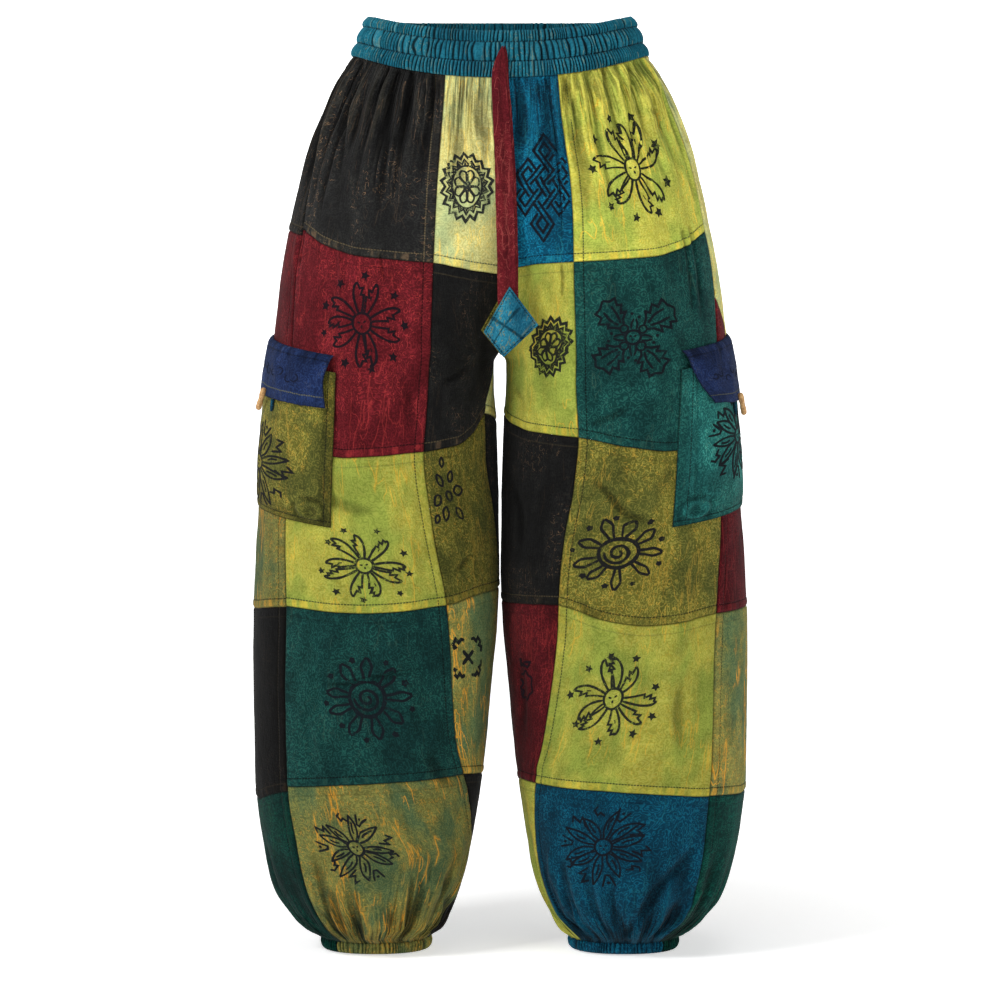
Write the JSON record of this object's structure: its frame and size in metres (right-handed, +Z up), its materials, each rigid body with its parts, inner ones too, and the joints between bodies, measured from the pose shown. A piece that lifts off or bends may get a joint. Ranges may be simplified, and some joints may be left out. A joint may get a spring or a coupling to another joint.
{
  "type": "patchwork harem pants",
  "caption": "Loose patchwork cotton trousers with ruched elastic waist, drawstring, flap cargo pockets and gathered ankle cuffs, filled out as if worn.",
  "frame": {"origin": "the middle of the elastic waistband's ring, where the wearer's waist holds the garment up", "axes": "+Z up, -Y to the front of the garment, -X to the viewer's left as seen from the front"},
  "size_m": [0.5264, 0.2836, 0.9948],
  "materials": {
    "cloth_black": "acid-washed woven cotton, charcoal black with tan and brown veins",
    "cloth_red": "acid-washed woven cotton, dark red with orange-red veins",
    "cloth_lime": "acid-washed woven cotton, lime green with yellow-orange veins",
    "cloth_teal": "acid-washed woven cotton, dark teal with pale grey-green veins",
    "cloth_sage": "acid-washed woven cotton, grey-green with strong orange-yellow veins",
    "cloth_blue": "acid-washed woven cotton, petrol blue with light blue and tan veins",
    "cloth_olive": "acid-washed woven cotton, olive with dense gold veins",
    "cloth_green": "acid-washed woven cotton, dark bottle green",
    "cloth_navy": "woven cotton, dark purple-blue with a frayed hem",
    "cloth_band_blue": "ruched woven cotton, teal-blue with tan veins",
    "cloth_strap_red": "flat doubled cotton strap, dark red with pale veins",
    "cloth_diamond_blue": "folded woven cotton, teal-blue",
    "wood": "bare pale wood, smooth"
  },
  "bodies": {
    "root": {"waistband": "cloth_band_blue", "left_front_main_1": "cloth_black", "left_front_main_2": "cloth_red", "left_front_main_3": "cloth_lime", "left_front_main_4": "cloth_teal", "left_front_main_5": "cloth_sage", "left_front_inner_1": "cloth_sage", "left_front_inner_2": "cloth_black", "left_front_inner_3": "cloth_olive", "left_front_inner_4": "cloth_sage", "left_front_inner_5": "cloth_black", "left_back_inner_1": "cloth_olive", "left_back_inner_2": "cloth_sage", "left_back_inner_3": "cloth_black", "left_back_inner_4": "cloth_lime", "left_back_inner_5": "cloth_teal", "left_back_main_1": "cloth_black", "left_back_main_2": "cloth_red", "left_back_main_3": "cloth_sage", "left_back_main_4": "cloth_black", "left_back_main_5": "cloth_green", "left_cuff": "cloth_sage", "left_pocket": "cloth_olive", "left_flap": "cloth_navy", "left_toggle": "wood", "left_loop": "cloth_blue", "right_front_main_1": "cloth_lime", "right_front_main_2": "cloth_teal", "right_front_main_3": "cloth_olive", "right_front_main_4": "cloth_lime", "right_front_main_5": "cloth_blue", "right_front_inner_1": "cloth_blue", "right_front_inner_2": "cloth_lime", "right_front_inner_3": "cloth_black", "right_front_inner_4": "cloth_red", "right_front_inner_5": "cloth_lime", "right_back_inner_1": "cloth_red", "right_back_inner_2": "cloth_olive", "right_back_inner_3": "cloth_blue", "right_back_inner_4": "cloth_teal", "right_back_inner_5": "cloth_black", "right_back_main_1": "cloth_sage", "right_back_main_2": "cloth_red", "right_back_main_3": "cloth_red", "right_back_main_4": "cloth_sage", "right_back_main_5": "cloth_green", "right_cuff": "cloth_blue", "right_pocket": "cloth_teal", "right_flap": "cloth_navy", "right_toggle": "wood", "right_loop": "cloth_blue", "drawstring_front": "cloth_strap_red", "drawstring_rear": "cloth_strap_red", "diamond_front": "cloth_diamond_blue", "diamond_rear": "cloth_olive"}
  },
  "joints": []
}
